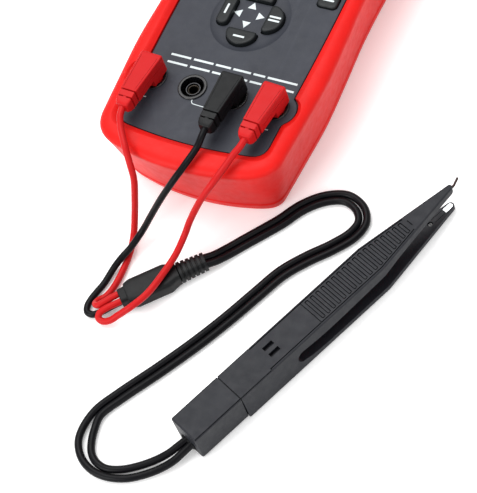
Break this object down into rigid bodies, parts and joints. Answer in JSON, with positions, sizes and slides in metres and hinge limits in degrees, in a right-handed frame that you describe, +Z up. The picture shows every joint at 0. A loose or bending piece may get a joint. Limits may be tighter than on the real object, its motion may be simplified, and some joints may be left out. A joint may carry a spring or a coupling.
{
  "type": "lcr meter",
  "caption": "Handheld LCR meter in a rubber holster with a tilt stand, shrouded elbow plugs, joined test leads and two-contact tweezers.",
  "frame": {"origin": "middle of the holster's flat back, on the surface that the meter lies on", "axes": "+Z up out of the front panel, +Y towards the display end, +X to the right of someone who reads the panel"},
  "size_m": [0.1506, 0.3161, 0.046],
  "materials": {
    "red_rubber": "satin moulded rubber",
    "panel_grey": "fine spark texture",
    "key_rubber": "satin",
    "black_plastic": "satin",
    "red_vinyl": "satin moulded vinyl",
    "black_vinyl": "satin moulded vinyl",
    "charcoal_plastic": "fine spark texture",
    "steel": "bright nickel plate",
    "brass": "plain",
    "lens": "smoked clear",
    "lcd_glass": "satin polariser",
    "board_green": "solder mask",
    "battery_jacket": "satin",
    "silicone": "matte"
  },
  "bodies": {
    "meter": {"holster": "red_rubber", "stand_hinge_pin": "steel", "front_case": "panel_grey", "rear_case": "panel_grey", "battery_door": "panel_grey", "battery_door_screw": "steel", "battery": "battery_jacket", "battery_snap": "black_plastic", "circuit_board": "board_green", "measuring_chip": "black_plastic", "buzzer": "black_plastic", "keypad_mat": "silicone", "lcd_window": "lens", "lcd_cell": "lcd_glass", "case_screw_1": "steel", "case_screw_2": "steel", "case_screw_3": "steel", "case_screw_4": "steel", "jack_housing_1": "black_plastic", "jack_housing_2": "black_plastic", "jack_housing_3": "black_plastic", "jack_housing_4": "black_plastic", "jack_contact_1": "brass", "jack_contact_2": "brass", "jack_contact_3": "brass", "jack_contact_4": "brass", "plug_red_left_body": "red_vinyl", "plug_red_left_pin": "steel", "plug_black_body": "black_vinyl", "plug_black_pin": "steel", "plug_red_right_body": "red_vinyl", "plug_red_right_pin": "steel", "lead_red_left": "red_vinyl", "lead_black": "black_vinyl", "lead_red_right": "red_vinyl", "cord_outer": "black_vinyl", "cord_inner": "black_vinyl", "junction_body": "black_vinyl", "junction_strain_relief": "black_vinyl", "tweezer_rear_cap": "charcoal_plastic", "tweezer_cord_grommet": "black_vinyl", "tweezer_body": "charcoal_plastic"},
    "tilt_stand": {"tilt_stand": "red_rubber"},
    "button_dish_right": {"button_dish_right": "key_rubber"},
    "button_dish_top": {"button_dish_top": "key_rubber"},
    "button_dish_left": {"button_dish_left": "key_rubber"},
    "button_dish_bottom": {"button_dish_bottom": "key_rubber"},
    "button_side_left": {"button_side_left": "key_rubber"},
    "button_side_right": {"button_side_right": "key_rubber"},
    "button_row_1": {"button_row_1": "key_rubber"},
    "button_row_2": {"button_row_2": "key_rubber"},
    "button_row_3": {"button_row_3": "key_rubber"},
    "button_row_4": {"button_row_4": "key_rubber"},
    "upper_arm": {"tweezer_upper_arm": "charcoal_plastic", "tweezer_tip_pin": "steel"},
    "lower_arm": {"tweezer_lower_arm": "charcoal_plastic", "tweezer_tip_blade": "steel", "tweezer_blade_screw": "steel"}
  },
  "joints": [
    {"name": "tilt_stand_hinge", "type": "hinge", "parent": "meter", "child": "tilt_stand", "pos_m": [0, 0.042, 0.0019], "axis": [1, 0, 0], "range_deg": [0, 60]},
    {"name": "upper_arm_flex", "type": "hinge", "parent": "meter", "child": "upper_arm", "pos_m": [0.06864, -0.14356, 0.007], "axis": [-0.9178, 0.3972, 0], "range_deg": [0, 2.4], "stiffness_Nm_per_rad": 3},
    {"name": "lower_arm_flex", "type": "hinge", "parent": "meter", "child": "lower_arm", "pos_m": [0.06864, -0.14356, 0.007], "axis": [0.9178, -0.3972, 0], "range_deg": [0, 2.4], "stiffness_Nm_per_rad": 3},
    {"name": "button_dish_right_press", "type": "slide", "parent": "meter", "child": "button_dish_right", "axis": [0, 0, -1], "range_m": [0, 0.0008], "stiffness_N_per_m": 1500},
    {"name": "button_dish_top_press", "type": "slide", "parent": "meter", "child": "button_dish_top", "axis": [0, 0, -1], "range_m": [0, 0.0008], "stiffness_N_per_m": 1500},
    {"name": "button_dish_left_press", "type": "slide", "parent": "meter", "child": "button_dish_left", "axis": [0, 0, -1], "range_m": [0, 0.0008], "stiffness_N_per_m": 1500},
    {"name": "button_dish_bottom_press", "type": "slide", "parent": "meter", "child": "button_dish_bottom", "axis": [0, 0, -1], "range_m": [0, 0.0008], "stiffness_N_per_m": 1500},
    {"name": "button_side_left_press", "type": "slide", "parent": "meter", "child": "button_side_left", "axis": [0, 0, -1], "range_m": [0, 0.0008], "stiffness_N_per_m": 1500},
    {"name": "button_side_right_press", "type": "slide", "parent": "meter", "child": "button_side_right", "axis": [0, 0, -1], "range_m": [0, 0.0008], "stiffness_N_per_m": 1500},
    {"name": "button_row_1_press", "type": "slide", "parent": "meter", "child": "button_row_1", "axis": [0, 0, -1], "range_m": [0, 0.0008], "stiffness_N_per_m": 1500},
    {"name": "button_row_2_press", "type": "slide", "parent": "meter", "child": "button_row_2", "axis": [0, 0, -1], "range_m": [0, 0.0008], "stiffness_N_per_m": 1500},
    {"name": "button_row_3_press", "type": "slide", "parent": "meter", "child": "button_row_3", "axis": [0, 0, -1], "range_m": [0, 0.0008], "stiffness_N_per_m": 1500},
    {"name": "button_row_4_press", "type": "slide", "parent": "meter", "child": "button_row_4", "axis": [0, 0, -1], "range_m": [0, 0.0008], "stiffness_N_per_m": 1500}
  ],
  "couplings": [
    {"joint": "lower_arm_flex", "follows": "upper_arm_flex", "ratio": 1}
  ]
}
